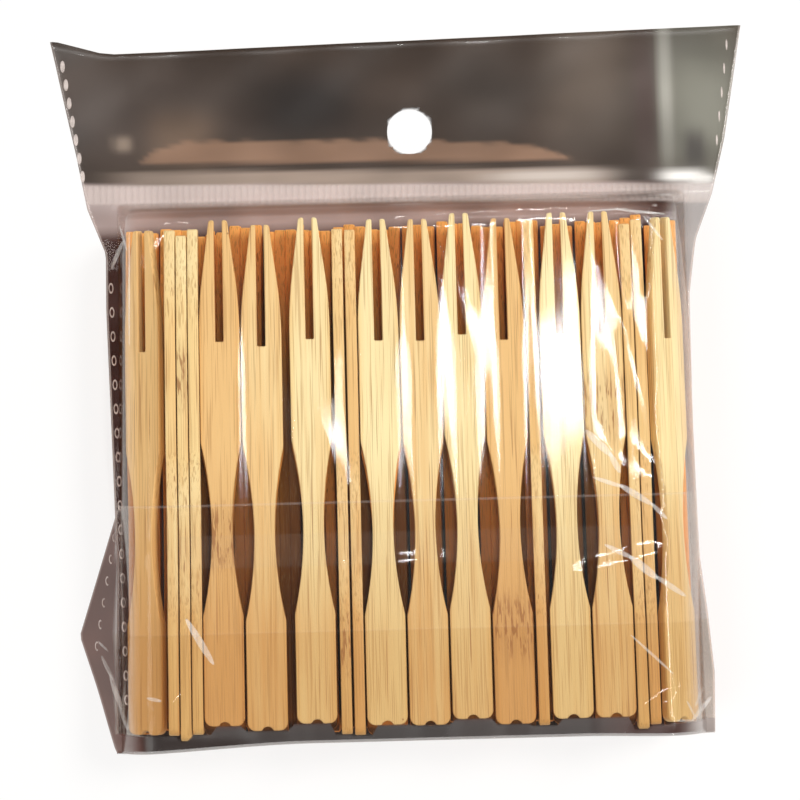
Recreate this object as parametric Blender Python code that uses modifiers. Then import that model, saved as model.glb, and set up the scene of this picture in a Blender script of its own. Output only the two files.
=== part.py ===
"""Clear header bag packed with two-tined bamboo forks, lying on its back.

Metres, +Z up. The origin is the middle of the bottom of the pack's bounding box. +Y runs from the
forks' handles to their tines and the hanging header, and +Z from the back film to the front film.
"""

import math

import bmesh
import bpy
import numpy as np

# The fork: one flat piece of bamboo, measured along +Y from the end of its handle
FORK_LENGTH = 0.0900
FORK_WIDTH = 0.0072
FORK_THICKNESS = 0.0019
HANDLE_LENGTH = 0.0196
WAIST_LENGTH = 0.0308
WAIST_WIDTH = 0.0037
WAIST_STEPS = 6
BUNDLE_WAIST_STEPS = 4
HANDLE_CORNER_RADIUS = 0.0013
CORNER_TURNS_DEG = (0, 30, 60, 90)
BUNDLE_CORNER_TURNS_DEG = (0, 90)
HANDLE_NOTCH_DEPTH = 0.0007
HANDLE_NOTCH_WIDTH = 0.0019
SLOT_WIDTH = 0.00145
SLOT_DEPTH = 0.0216
TINE_TAPER_LENGTH = 0.0150
TINE_BELLY = 0.00022
TIP_WIDTH = 0.0010
TIP_ROUNDING = 0.0005

# The pile: an upper row as the photograph shows it, each fork with its gap from the one on its left, on a
# lower row that stands on edge
LAYER_GAP = 0.0003
FLAT_LAYERS = 3
UPPER_ROW = (
    ("left tilted", 0.0),
    ("edge", 0.00026),
    ("edge", 0.00020),
    ("edge", 0.00020),
    ("flat", 0.00015),
    ("flat", 0.00030),
    ("flat", 0.00150),
    ("edge", 0.00065),
    ("edge", 0.00040),
    ("flat", 0.00025),
    ("flat", 0.00030),
    ("flat", 0.00030),
    ("flat", 0.00030),
    ("edge", 0.00045),
    ("flat", 0.00055),
    ("flat", 0.00030),
    ("edge", 0.00025),
    ("edge", 0.00020),
    ("right tilted", 0.00015),
)
LEFT_TILT_DEG = -30.0
RIGHT_TILT_DEG = 38.0
BUNDLES = 16
FORKS_IN_BUNDLE = 3
BUNDLE_GROOVE = 0.00012
FAN_DEG_PER_METRE = 20.0
LAYER_SLIDES = (0.0024, 0.0009, 0.0017)
EDGE_SLIDE = 0.0009
TILTED_SLIDE = 0.0014
BUNDLE_SLIDE = 0.0012
SLIDE_SPREAD = 0.0006

# The bag: one web of film, from its mouth up the front, over the header, down the back and up the flap
FILM = 0.00015
FILM_CLEARANCE = 0.0003
FILM_FACE_GAP = 0.0003
PACK_LENGTH = 0.1270
HEADER_HALF_WIDTH = 0.0613
END_CLEARANCE = 0.0007
TOP_SLOPE = 0.0027
SEAL_HEIGHT = 0.0060
FIN_HEIGHT = 0.0046
FIN_DROOP = 0.30
FIN_RISE_LENGTH = 0.0120
HEADER_EDGE_HEIGHT = 0.0008
HEADER_WAVE = 0.00025
HEADER_WAVE_LENGTH = 0.0460
SHOULDER_RUN = 0.0070
SHOULDER_DROP = 0.0056
WALL_RUN = 0.0011
CURL_HEIGHT = 0.0085
CURL_WIDTH = 0.0115
PLATEAU_COLUMNS = 9
HEADER_ROWS = 7
POUCH_ROWS = 9
WALL_ROWS = 3
FLAP_ROWS = 6
HANG_HOLE_RADIUS = 0.0040
HANG_HOLE_X = 0.0020
HANG_HOLE_FROM_TOP = 0.0178

# The flap folded up over the front, and the strip that glues it down
FLAP_REACH = 0.0432
FLAP_CLEARANCE = 0.0008
FLAP_CORNER_REACH = 0.0062
TAPE_WIDTH = 0.0058
TAPE_LENGTH = 0.0820
TAPE_THICKNESS = 0.0001
TAPE_FROM_FLAP_EDGE = 0.0056

# How far the bag's side edges lie inside the header's corners, at these distances from the pack's middle
EDGE_STATIONS = (-0.0635, -0.0530, -0.0420, -0.0320, -0.0090, 0.0150, 0.0250, 0.0330, 0.0430, 0.0635)
LEFT_INSETS = (0.0078, 0.0080, 0.0084, 0.0088, 0.0084, 0.0080, 0.0082, 0.0052, 0.0034, 0.0)
RIGHT_INSETS = (0.0072, 0.0070, 0.0080, 0.0092, 0.0098, 0.0098, 0.0084, 0.0054, 0.0028, 0.0)

# Colours as the photograph shows them, in linear light
BAMBOO = (0.72, 0.47, 0.22, 1.0)
INNER_BAMBOO = (0.62, 0.38, 0.17, 1.0)
SMOKY_FILM = (0.20, 0.16, 0.15, 0.35)
GLUE = (0.80, 0.76, 0.70, 0.6)

# Heights and lengths that follow from the sizes above
PACK_TOP = PACK_LENGTH / 2 - FILM
PACK_FOOT = -PACK_LENGTH / 2
HANDLE_LINE = PACK_FOOT + FILM + END_CLEARANCE
FORK_MIDDLE = HANDLE_LINE + FORK_LENGTH / 2
TIP_LINE = HANDLE_LINE + FORK_LENGTH + LAYER_SLIDES[0] + SLIDE_SPREAD
SEAL_LINE = TIP_LINE + END_CLEARANCE + TOP_SLOPE
LOWER_FLOOR = FILM + FILM_CLEARANCE
UPPER_FLOOR = LOWER_FLOOR + FORK_WIDTH + LAYER_GAP
PILE_TOP = UPPER_FLOOR + FORK_WIDTH
FRONT_HEIGHT = PILE_TOP + FILM_CLEARANCE


def breadth(kind):
    """Room that a fork of the upper row takes across the pack."""
    if kind == "flat":
        return FORK_WIDTH
    if kind == "edge":
        return FORK_THICKNESS
    tilt = math.radians(LEFT_TILT_DEG if kind == "left tilted" else RIGHT_TILT_DEG)
    return FORK_WIDTH * math.cos(tilt) + FORK_THICKNESS * abs(math.sin(tilt))


PILE_HALF_WIDTH = sum(gap + breadth(kind) for kind, gap in UPPER_ROW) / 2



def clear_scene():
    for old in list(bpy.data.objects):
        bpy.data.objects.remove(old, do_unlink=True)


def new_collection(name):
    made = bpy.data.collections.new(name)
    bpy.context.scene.collection.children.link(made)
    return made


def new_material(name, colour, roughness, metallic=0.0):
    made = bpy.data.materials.new(name)
    made.use_nodes = True
    made.diffuse_color = colour
    shader = made.node_tree.nodes["Principled BSDF"]
    shader.inputs["Base Color"].default_value = colour
    shader.inputs["Alpha"].default_value = colour[3]
    shader.inputs["Roughness"].default_value = roughness
    shader.inputs["Metallic"].default_value = metallic
    return made


def waist_half_width(y):
    """Half the fork's width on the arc of the waist, which passes both shoulders and the narrowest point."""
    half_chord = WAIST_LENGTH / 2
    bite = (FORK_WIDTH - WAIST_WIDTH) / 2
    radius = (half_chord**2 + bite**2) / (2 * bite)
    from_middle = y - HANDLE_LENGTH - half_chord
    return WAIST_WIDTH / 2 + radius - math.sqrt(radius**2 - from_middle**2)


def fork_right_side(corner_turns, waist_steps):
    """Right half of the fork's outline, from the notch in its handle to the foot of the slot between the tines."""
    half, slot = FORK_WIDTH / 2, SLOT_WIDTH / 2
    corner = HANDLE_CORNER_RADIUS
    notch = HANDLE_NOTCH_WIDTH / 2
    points = [(notch * 0.45, HANDLE_NOTCH_DEPTH * 0.62), (notch, HANDLE_NOTCH_DEPTH * 0.12)]
    points.append(((notch + half - corner) / 2, 0.0))
    for turn in corner_turns:
        angle = math.radians(turn)
        points.append((half - corner + corner * math.sin(angle), corner - corner * math.cos(angle)))
    for step in range(waist_steps + 1):
        y = HANDLE_LENGTH + WAIST_LENGTH * step / waist_steps
        points.append((waist_half_width(y), y))
    taper = FORK_LENGTH - TINE_TAPER_LENGTH
    tip_side = slot + TIP_WIDTH
    points.append((half, taper))
    points.append(((half + tip_side) / 2 + TINE_BELLY, (taper + FORK_LENGTH) / 2))
    points.append((tip_side, FORK_LENGTH - TIP_ROUNDING))
    points.append((tip_side - TIP_WIDTH / 2, FORK_LENGTH))
    points.append((slot, FORK_LENGTH - TIP_ROUNDING * 1.6))
    points.append((slot, FORK_LENGTH - SLOT_DEPTH))
    return points


def outline_curve(name, points, thickness):
    """A flat outline as a closed 2D curve, extruded to a thickness about Z = 0."""
    curve = bpy.data.curves.new(name, "CURVE")
    curve.dimensions = "2D"
    curve.fill_mode = "BOTH"
    curve.extrude = thickness / 2
    spline = curve.splines.new("POLY")
    spline.points.add(len(points) - 1)
    for point, (x, y) in zip(spline.points, points):
        point.co = (x, y, 0.0, 1.0)
    spline.use_cyclic_u = True
    return curve


def mesh_from_curve(curve):
    """The curve as a mesh whose caps are welded to its sides."""
    carrier = bpy.data.objects.new(curve.name, curve)
    bpy.context.scene.collection.objects.link(carrier)
    depsgraph = bpy.context.evaluated_depsgraph_get()
    mesh = bpy.data.meshes.new_from_object(carrier.evaluated_get(depsgraph))
    bpy.data.objects.remove(carrier)
    mesh.name = curve.name
    work = bmesh.new()
    work.from_mesh(mesh)
    bmesh.ops.remove_doubles(work, verts=work.verts, dist=1e-6)
    bmesh.ops.recalc_face_normals(work, faces=work.faces)
    work.to_mesh(mesh)
    work.free()
    return mesh


def fork_outline(corner_turns, waist_steps):
    """The whole outline about the fork's middle, anticlockwise from the notch."""
    right = fork_right_side(corner_turns, waist_steps)
    left = [(-x, y) for x, y in reversed(right)]
    points = [(0.0, HANDLE_NOTCH_DEPTH), *right, *left]
    return [(x, y - FORK_LENGTH / 2) for x, y in points]


def fork_mesh():
    points = fork_outline(CORNER_TURNS_DEG, WAIST_STEPS)
    return mesh_from_curve(outline_curve("bamboo_fork", points, FORK_THICKNESS))


def bundle_half_mesh():
    """Upper half of a bundle of forks face to face, open at its middle plane, with a groove between two forks."""
    work = bmesh.new()
    top = FORKS_IN_BUNDLE * FORK_THICKNESS / 2
    points = fork_outline(BUNDLE_CORNER_TURNS_DEG, BUNDLE_WAIST_STEPS)
    face = work.faces.new([work.verts.new((x, y, top)) for x, y in points])
    for depth in (FORK_THICKNESS, top - FORK_THICKNESS):
        made = bmesh.ops.extrude_face_region(work, geom=[face], use_keep_orig=True)
        lower = next(item for item in made["geom"] if isinstance(item, bmesh.types.BMFace))
        bmesh.ops.translate(work, verts=lower.verts, vec=(0.0, 0.0, -depth))
        if depth == FORK_THICKNESS:
            bmesh.ops.inset_region(work, faces=[lower], thickness=BUNDLE_GROOVE, use_even_offset=True)
        else:
            work.faces.remove(lower)
        if face.calc_center_median().z < top:
            work.faces.remove(face)
        face = lower
    bmesh.ops.recalc_face_normals(work, faces=work.faces)
    mesh = bpy.data.meshes.new("fork_bundle")
    work.to_mesh(mesh)
    work.free()
    return mesh


def place(collection, mesh, name, material, location, roll_deg, lean_deg):
    """One fork or bundle, rolled about its own length and leaning in the plane of the pack."""
    made = bpy.data.objects.new(name, mesh)
    collection.objects.link(made)
    made.location = location
    made.rotation_euler = (0.0, math.radians(roll_deg), math.radians(lean_deg))
    if not mesh.materials:
        mesh.materials.append(material)
    return made


def lean_at(x):
    """The forks fan out towards their handles, so each leans by its distance from the middle of the pile."""
    return FAN_DEG_PER_METRE * x


def slide_at(number):
    """A fixed, uneven slide along Y, so that no two neighbours end level."""
    return SLIDE_SPREAD * math.sin(2.4 * number)


def upper_columns():
    """The upper row's forks from left to right, as kind and middle."""
    columns = []
    x = -PILE_HALF_WIDTH
    for kind, gap in UPPER_ROW:
        columns.append((kind, x + gap + breadth(kind) / 2))
        x += gap + breadth(kind)
    return columns


def lay_flat_column(collection, mesh, material, number, x):
    """Forks that lie flat on each other, the front one level with the top of the pile."""
    for layer in range(FLAT_LAYERS):
        height = PILE_TOP - FORK_THICKNESS / 2 - LAYER_GAP - layer * (FORK_THICKNESS + LAYER_GAP)
        slide = LAYER_SLIDES[layer] + slide_at(number + 3 * layer)
        name = f"{('front', 'second', 'third')[layer]}_fork_{number:02d}"
        place(collection, mesh, name, material, (x, FORK_MIDDLE + slide, height), 0.0, lean_at(x))


def lay_tilted(collection, mesh, material, name, x, tilt_deg):
    """A fork at the side of the pile, which leans out on the edge of the lower row."""
    tilt = math.radians(abs(tilt_deg))
    height = UPPER_FLOOR + FORK_WIDTH / 2 * math.sin(tilt) + FORK_THICKNESS / 2 * math.cos(tilt)
    place(collection, mesh, name, material, (x, FORK_MIDDLE + TILTED_SLIDE, height), tilt_deg, lean_at(x))


def lay_upper_row(collection, mesh, material):
    flat_number = edge_number = 0
    for kind, x in upper_columns():
        if kind == "flat":
            flat_number += 1
            lay_flat_column(collection, mesh, material, flat_number, x)
        elif kind == "edge":
            edge_number += 1
            y = FORK_MIDDLE + EDGE_SLIDE + slide_at(edge_number)
            height = UPPER_FLOOR + FORK_WIDTH / 2
            place(collection, mesh, f"edge_fork_{edge_number:02d}", material, (x, y, height), 90.0, lean_at(x))
        elif kind == "left tilted":
            lay_tilted(collection, mesh, material, "left_side_fork", x, LEFT_TILT_DEG)
        else:
            lay_tilted(collection, mesh, material, "right_side_fork", x, RIGHT_TILT_DEG)


def lay_lower_row(collection, mesh, material):
    """Bundles of forks that stand on edge side by side along the back film."""
    pitch = 2 * PILE_HALF_WIDTH / BUNDLES
    for number in range(BUNDLES):
        x = pitch * (number + 0.5) - PILE_HALF_WIDTH
        location = (x, FORK_MIDDLE + BUNDLE_SLIDE + slide_at(number), LOWER_FLOOR + FORK_WIDTH / 2)
        name = f"lower_bundle_{number + 1:02d}"
        made = place(collection, mesh, name, material, location, 90.0, lean_at(x))
        mirror = made.modifiers.new("other half", "MIRROR")
        mirror.use_axis = (False, False, True)
        mirror.merge_threshold = 0.00001


def side_edge(y, side):
    """X of the bag's side edge, with side -1 on the left and 1 on the right."""
    insets = LEFT_INSETS if side < 0 else RIGHT_INSETS
    return side * (HEADER_HALF_WIDTH - float(np.interp(y, EDGE_STATIONS, insets)))


def flap_edge(y, side):
    """X of the flap's side edge. Its left corner springs out past the bag, and its top corner tucks in."""
    if side > 0:
        return side_edge(y, side)
    reach = np.interp(
        y - PACK_FOOT, (0.0, FLAP_REACH * 0.46, FLAP_REACH), (0.0, FLAP_CORNER_REACH, -FLAP_CORNER_REACH / 4)
    )
    return side_edge(PACK_FOOT, side) - float(reach)


def pile_side(y, side):
    """X of the outside of the pile, which fans out towards the handles."""
    fan = math.tan(math.radians(FAN_DEG_PER_METRE * PILE_HALF_WIDTH))
    spread = (FORK_MIDDLE - min(y, TIP_LINE)) * fan
    return side * (PILE_HALF_WIDTH + spread + FILM_CLEARANCE)


def sheet_height(x, y):
    """Height at which the two faces of the bag lie together: the side fins and the header."""
    side = -1 if x < 0 else 1
    beyond = max(0.0, side * (x - pile_side(y, side)))
    fin = FIN_HEIGHT - FIN_DROOP * beyond
    header = np.interp(y, (SEAL_LINE, PACK_TOP), (SEAL_HEIGHT, HEADER_EDGE_HEIGHT))
    rise = np.clip((y - SEAL_LINE + FIN_RISE_LENGTH) / FIN_RISE_LENGTH, 0.0, 1.0)
    towards_header = rise * rise * (3 - 2 * rise)
    bend = np.clip((-HEADER_HALF_WIDTH + CURL_WIDTH - x) / CURL_WIDTH, 0.0, 1.0)
    lift = np.clip((y - SEAL_LINE) / (PACK_TOP - SEAL_LINE), 0.0, 1.0)
    wave = HEADER_WAVE * math.sin(2 * math.pi * x / HEADER_WAVE_LENGTH) * lift
    return float(fin + (header - fin) * towards_header + CURL_HEIGHT * bend * lift + wave)


def face_gap(x, y):
    """Half the gap between the two faces where they lie together, closing at the bag's edges."""
    inside = min(x - side_edge(y, -1), side_edge(y, 1) - x, PACK_TOP - y)
    return FILM_FACE_GAP / 2 * min(1.0, max(0.0, inside) / WALL_RUN)


def front_height(x, y):
    """Inner surface of the front film: flat on the pile, down its shoulders, then onto the fins and header."""
    sheet = sheet_height(x, y) + face_gap(x, y)
    side = -1 if x < 0 else 1
    inside = side * (pile_side(y, side) - x)
    across = np.interp(
        inside, (-WALL_RUN, 0.0, SHOULDER_RUN), (sheet, FRONT_HEIGHT - SHOULDER_DROP, FRONT_HEIGHT)
    )
    along = np.interp(y, (TIP_LINE + END_CLEARANCE, SEAL_LINE), (FRONT_HEIGHT, sheet))
    return float(max(sheet, min(across, along)))


def back_height(x, y):
    """Inner surface of the back film: flat on the ground under the pile, then up to the fins and header."""
    sheet = sheet_height(x, y) - face_gap(x, y)
    side = -1 if x < 0 else 1
    inside = side * (pile_side(y, side) - x)
    across = np.interp(inside, (-WALL_RUN, 0.0), (sheet, FILM))
    along = np.interp(y, (TIP_LINE + END_CLEARANCE, SEAL_LINE), (FILM, sheet))
    return float(min(sheet, max(across, along)))


def flap_height(x, y):
    return front_height(x, y) + FLAP_CLEARANCE


def column_places(y, left, right):
    """X of the web's columns at one row, close together where the film bends."""
    low, high = pile_side(y, -1), pile_side(y, 1)
    left_fold, right_fold = max(left, low - WALL_RUN), min(right, high + WALL_RUN)
    plateau = np.linspace(low + SHOULDER_RUN, high - SHOULDER_RUN, PLATEAU_COLUMNS)
    return [
        left,
        (left + left_fold) / 2,
        left_fold,
        low,
        low + SHOULDER_RUN / 2,
        *plateau,
        high - SHOULDER_RUN / 2,
        high,
        right_fold,
        (right + right_fold) / 2,
        right,
    ]


def web_rows():
    """Rows of the web as lists of points, from the mouth over the front, the header, the back and the flap."""
    mouth = PACK_FOOT + FILM + END_CLEARANCE / 2
    pouch = list(np.linspace(mouth, TIP_LINE + END_CLEARANCE, POUCH_ROWS))
    slope = [(TIP_LINE + END_CLEARANCE + SEAL_LINE) / 2]
    header = list(np.linspace(SEAL_LINE, PACK_TOP, HEADER_ROWS))
    stations = pouch + slope + header
    bag = [(y, column_places(y, side_edge(y, -1), side_edge(y, 1))) for y in stations]
    rows = [[(x, y, front_height(x, y)) for x in places] for y, places in bag]
    rows += [[(x, y, back_height(x, y)) for x in places] for y, places in reversed(bag[:-1])]
    foot = PACK_FOOT + FILM
    for rise in np.linspace(0.0, 1.0, WALL_ROWS + 2)[1:-1]:
        places = column_places(foot, side_edge(foot, -1), side_edge(foot, 1))
        row = []
        for x in places:
            low, high = back_height(x, foot), flap_height(x, foot)
            row.append((x, foot, low + (high - low) * rise))
        rows.append(row)
    for y in np.linspace(mouth, PACK_FOOT + FLAP_REACH, FLAP_ROWS):
        places = column_places(y, flap_edge(y, -1), flap_edge(y, 1))
        rows.append([(x, y, flap_height(x, y)) for x in places])
    return rows


def hang_hole_cutter(collection):
    """Punch for the hole that the pack hangs by, through both faces of the header."""
    y = PACK_TOP - HANG_HOLE_FROM_TOP
    bpy.ops.mesh.primitive_cylinder_add(
        vertices=28,
        radius=HANG_HOLE_RADIUS,
        depth=4 * SEAL_HEIGHT,
        location=(HANG_HOLE_X, y, sheet_height(HANG_HOLE_X, y)),
    )
    cutter = bpy.context.object
    cutter.name = "hang_hole_cutter"
    for home in list(cutter.users_collection):
        home.objects.unlink(cutter)
    collection.objects.link(cutter)
    cutter.hide_render = True
    cutter.display_type = "WIRE"
    return cutter


def build_bag(collection, cutters, material):
    """One folded web of film: a grid bent into the bag, joined along its side seams and given its thickness."""
    rows = web_rows()
    columns = len(rows[0])
    work = bmesh.new()
    bmesh.ops.create_grid(work, x_segments=columns - 1, y_segments=len(rows) - 1, size=1.0)
    work.verts.ensure_lookup_table()
    ordered = sorted(work.verts, key=lambda vert: (round(vert.co.y, 4), vert.co.x))
    for vert, point in zip(ordered, [point for row in rows for point in row]):
        vert.co = point
    bmesh.ops.remove_doubles(work, verts=work.verts, dist=1e-6)
    mesh = bpy.data.meshes.new("film_bag")
    work.to_mesh(mesh)
    work.free()
    mesh.materials.append(material)
    bag = bpy.data.objects.new("film_bag", mesh)
    collection.objects.link(bag)
    wall = bag.modifiers.new("film", "SOLIDIFY")
    wall.thickness = FILM
    wall.offset = 1.0
    hole = bag.modifiers.new("hang hole", "BOOLEAN")
    hole.operation = "DIFFERENCE"
    hole.solver = "EXACT"
    hole.object = hang_hole_cutter(cutters)
    return bag


def build_tape(collection, material):
    """The strip of glue between the flap and the front film."""
    y = PACK_FOOT + FLAP_REACH - TAPE_FROM_FLAP_EDGE - TAPE_WIDTH / 2
    height = FRONT_HEIGHT + FILM + (FLAP_CLEARANCE - FILM) / 2
    bpy.ops.mesh.primitive_cube_add(size=1.0, location=(0.0, y, height))
    tape = bpy.context.object
    tape.name = "flap_glue_strip"
    tape.scale = (TAPE_LENGTH, TAPE_WIDTH, TAPE_THICKNESS)
    bpy.ops.object.transform_apply(location=False, rotation=False, scale=True)
    for home in list(tape.users_collection):
        home.objects.unlink(tape)
    collection.objects.link(tape)
    tape.data.materials.append(material)
    return tape


def main():
    clear_scene()
    pack = new_collection("cutlery_pack")
    cutters = new_collection("cutters")
    fork = fork_mesh()
    bundle = bundle_half_mesh()
    lay_upper_row(pack, fork, new_material("bamboo", BAMBOO, 0.55))
    lay_lower_row(pack, bundle, new_material("inner_bamboo", INNER_BAMBOO, 0.6))
    build_bag(pack, cutters, new_material("smoky_film", SMOKY_FILM, 0.12))
    build_tape(pack, new_material("glue", GLUE, 0.3))


main()
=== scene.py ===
"""Dresses the frame of a clear header bag packed with two-tined bamboo forks.

Metres, in the frame's own axes: the pack lies on its back, +Y runs towards the hanging header, +Z is up.
"""

import math
import random

import bpy
import numpy as np
from bpy.props import FloatProperty, FloatVectorProperty, IntProperty, PointerProperty
from mathutils import Matrix, Vector


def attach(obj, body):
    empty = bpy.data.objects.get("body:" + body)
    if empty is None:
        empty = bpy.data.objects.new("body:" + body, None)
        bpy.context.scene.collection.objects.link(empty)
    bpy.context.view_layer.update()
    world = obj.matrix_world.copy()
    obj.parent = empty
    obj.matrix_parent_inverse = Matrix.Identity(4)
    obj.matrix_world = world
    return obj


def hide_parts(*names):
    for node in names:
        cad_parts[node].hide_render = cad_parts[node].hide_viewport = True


bl_info = {
    "name": "Bamboo Fork Pack",
    "version": (1, 0, 0),
    "blender": (4, 5, 0),
    "location": "View3D > Sidebar > Fork Pack",
    "description": "Models the forks, the film bag and the stage round the packed frame",
    "category": "Object",
}

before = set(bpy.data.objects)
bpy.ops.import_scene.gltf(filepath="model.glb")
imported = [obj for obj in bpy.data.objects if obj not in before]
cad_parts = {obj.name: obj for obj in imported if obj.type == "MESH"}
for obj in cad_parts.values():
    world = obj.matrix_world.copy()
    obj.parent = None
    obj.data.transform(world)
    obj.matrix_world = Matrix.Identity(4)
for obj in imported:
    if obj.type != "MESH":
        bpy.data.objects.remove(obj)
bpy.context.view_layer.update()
BODY = "root"

# What the photograph shows on single forks: where along the fork its bamboo joint is, from its middle
JOINT_MARKS = {
    "front_fork_01": -0.0112,
    "front_fork_07": -0.0275,
    "front_fork_09": 0.0105,
    "edge_fork_02": 0.0200,
    "second_fork_04": 0.0320,
}
NO_JOINT = -1.0
# How warm the bamboo is, fork by fork where the photograph shows it and else by layer. 0 is the palest, and
# from 1.2 to 1.5 an inner fork goes from dark to lit
FORK_TONES = {
    "left_side_fork": 0.80,
    "front_fork_01": 0.92,
    "front_fork_02": 0.62,
    "front_fork_03": 0.36,
    "front_fork_04": 0.28,
    "front_fork_05": 0.56,
    "front_fork_06": 0.34,
    "front_fork_07": 0.86,
    "front_fork_08": 0.28,
    "front_fork_09": 0.50,
    "right_side_fork": 0.40,
    "lower_bundle_04": 1.40,
    "lower_bundle_05": 1.20,
    "lower_bundle_08": 1.24,
    "lower_bundle_09": 1.36,
    "lower_bundle_10": 1.40,
    "lower_bundle_11": 1.50,
    "lower_bundle_13": 1.22,
    "lower_bundle_14": 1.24,
}
TONE_RANGES = {"edge": (0.42, 0.70), "second": (1.20, 1.50), "third": (1.20, 1.50), "lower": (1.20, 1.50)}
JOINT_CHANCE = 0.12
# Tint of the inner forks towards their tips, where light reaches them
LIT_TIPS = (1.20, 0.90, 0.62, 1.0)
# Tints of a fork: darker towards the end of its handle, painted shade along its sides, and painted shade on
# an inner fork's upward faces near its handle end
HANDLE_TINT = (0.79, 0.66, 0.54, 1.0)
SIDE_SHADE = (0.95, 0.84, 0.68, 1.0)
END_SHADE = (0.030, 0.014, 0.008, 1.0)
WHITE = (1.0, 1.0, 1.0, 1.0)
# Colour of the painted glints along the film's folds
GLINT_WHITE = (0.95, 0.94, 0.92, 1.0)
# How milky the weld marks, the painted glints along the folds and the glue are
WELD_HAZE = 0.40
GLINT_HAZE = 0.19
GLUE_HAZE = 0.012
# The clear film: its own milkiness, what it mirrors when looked at squarely, and how sharply
FILM_MILK = 0.0012
FILM_GLOSS = 0.007
FILM_ROUGHNESS = 0.045
# How far the outer forks of a bundle slide along it
BUNDLE_UNEVEN = 0.0005

# Creases pressed into the front film, in millimetres: from, to, half width and height
CREASES = (
    (-3.0, 30.2, 27.0, 31.2, 0.8, 0.45),
    (27.0, 31.2, 47.0, 30.4, 0.9, 0.55),
    (41.0, 30.0, 50.2, 12.0, 0.9, 0.60),
    (44.0, 30.0, 44.5, 14.0, 0.8, 0.45),
    (46.5, 27.0, 51.0, 22.0, 0.7, 0.50),
    (33.0, 27.5, 49.5, -31.0, 1.6, 0.14),
    (36.0, 20.0, 44.0, -8.0, 1.1, 0.10),
    (35.0, -10.0, 50.5, -35.0, 1.2, 0.30),
    (39.0, -12.0, 47.0, -24.0, 0.9, 0.30),
    (44.0, -16.0, 50.5, -24.0, 0.9, 0.34),
    (-51.0, 23.5, -45.0, 25.0, 0.8, 0.45),
    (-50.0, 18.0, -43.0, 29.5, 0.9, 0.35),
    (-47.0, 29.5, -38.0, 30.5, 0.8, 0.35),
    (-50.0, -30.0, -38.0, -26.5, 1.0, 0.22),
    (6.0, 28.0, 12.0, 8.0, 1.2, 0.16),
    (-20.0, 10.0, -12.0, -18.0, 1.6, 0.14),
)
FLAP_CREASES = (
    (-39.5, -50.0, -33.5, -41.5, 0.8, 0.35),
    (-46.5, -58.5, -41.5, -54.0, 0.8, 0.45),
    (-52.0, -47.0, -49.0, -60.5, 0.8, 0.50),
    (-49.5, -60.0, -30.0, -61.5, 0.8, 0.30),
    (40.0, -60.5, 52.0, -53.0, 0.8, 0.50),
    (45.5, -61.5, 53.0, -58.0, 0.7, 0.50),
    (47.0, -54.0, 50.0, -62.0, 0.7, 0.45),
    (30.0, -34.5, 51.0, -29.5, 1.3, 0.26),
    (20.0, -53.0, 32.0, -48.0, 1.2, 0.08),
    (-14.0, -33.0, 8.0, -31.0, 1.2, 0.14),
)

# Weld marks as rows of small ovals, in millimetres: first, last, how many, breadth and length
SOLID_WELDS = (
    (-60.1, 58.9, -56.9, 38.9, 7, 0.85, 2.2),
    (59.6, 59.9, 57.2, 42.6, 5, 0.36, 2.0),
)
RING_WELDS = ((-52.4, 18.8, -51.2, -55.0, 18, 0.85, 1.9),)
FLAP_RING_WELDS = ((-52.9, -26.0, -56.6, -45.5, 6, 0.75, 1.7),)
WELD_HEIGHT = 0.00012
RING_HEIGHT = 0.0005

# Painted reflections in the header's film, lighter and darker patches, in millimetres: middle, half breadth,
# half height, and the colour
LEFT_SMOKE = (0.042, 0.010, 0.005)
RIGHT_SMOKE = (0.315, 0.27, 0.255)
HEADER_SMOKE = (0.034, 0.017, 0.008)
FLAP_SMOKE = (0.090, 0.028, 0.018)
TIP_SMOKE = (0.385, 0.30, 0.285)
# Painted shade in the foot of the bag, below the handle ends
FOOT_SHADE = (0.018, 0.009, 0.007)
HEADER_REFLECTIONS = (
    (-52.0, 52.0, 24.0, 9.0, (0.055, 0.036, 0.027)),
    (-39.0, 46.0, 6.0, 5.5, (0.120, 0.074, 0.046)),
    (-49.5, 45.6, 1.5, 1.5, (0.22, 0.165, 0.125)),
    (-17.0, 52.0, 10.0, 7.0, (0.012, 0.005, 0.002)),
    (16.0, 53.0, 7.0, 9.0, (0.042, 0.028, 0.020)),
    (34.0, 54.0, 8.0, 12.0, (0.095, 0.068, 0.050)),
    (54.4, 50.0, 8.4, 14.0, (0.185, 0.182, 0.148)),
    (44.6, 50.0, 2.2, 14.0, (0.060, 0.034, 0.027)),
    (48.3, 53.0, 1.3, 13.0, (0.34, 0.33, 0.29)),
    (53.2, 41.0, 2.1, 3.8, (0.060, 0.052, 0.045)),
    # The last two patches are painted white highlights
    (50.8, 36.3, 4.2, 1.2, (0.95, 0.93, 0.90)),
    (54.4, 35.4, 2.4, 1.0, (0.85, 0.83, 0.80)),
)
# Painted reflection of a warm brown thing: a band across the header below this crest, in millimetres
WARM_REFLECTION = (0.225, 0.126, 0.076)
WARM_REFLECTION_CREST = (
    (-47, 42.0),
    (-43, 44.8),
    (-38, 46.0),
    (-20, 45.4),
    (0, 45.0),
    (10, 44.2),
    (20, 43.6),
    (27, 42.2),
    (32, 39.8),
)
# Painted reflection in a band just above the seal, and a painted highlight patch on the header
LIGHT_REFLECTION = (0.30, 0.23, 0.185)
PAINTED_HIGHLIGHT = (0.50, 0.44, 0.40)
# Share of the light that the smoky film holds back: in the pouch, in the flap and in the wall at the foot
POUCH_COVER = 0.90
FLAP_COVER = 0.86
WALL_COVER = 0.30
# How much less of it the pouch's right margin holds back
RIGHT_MARGIN_CLEARER = 0.42
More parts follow.
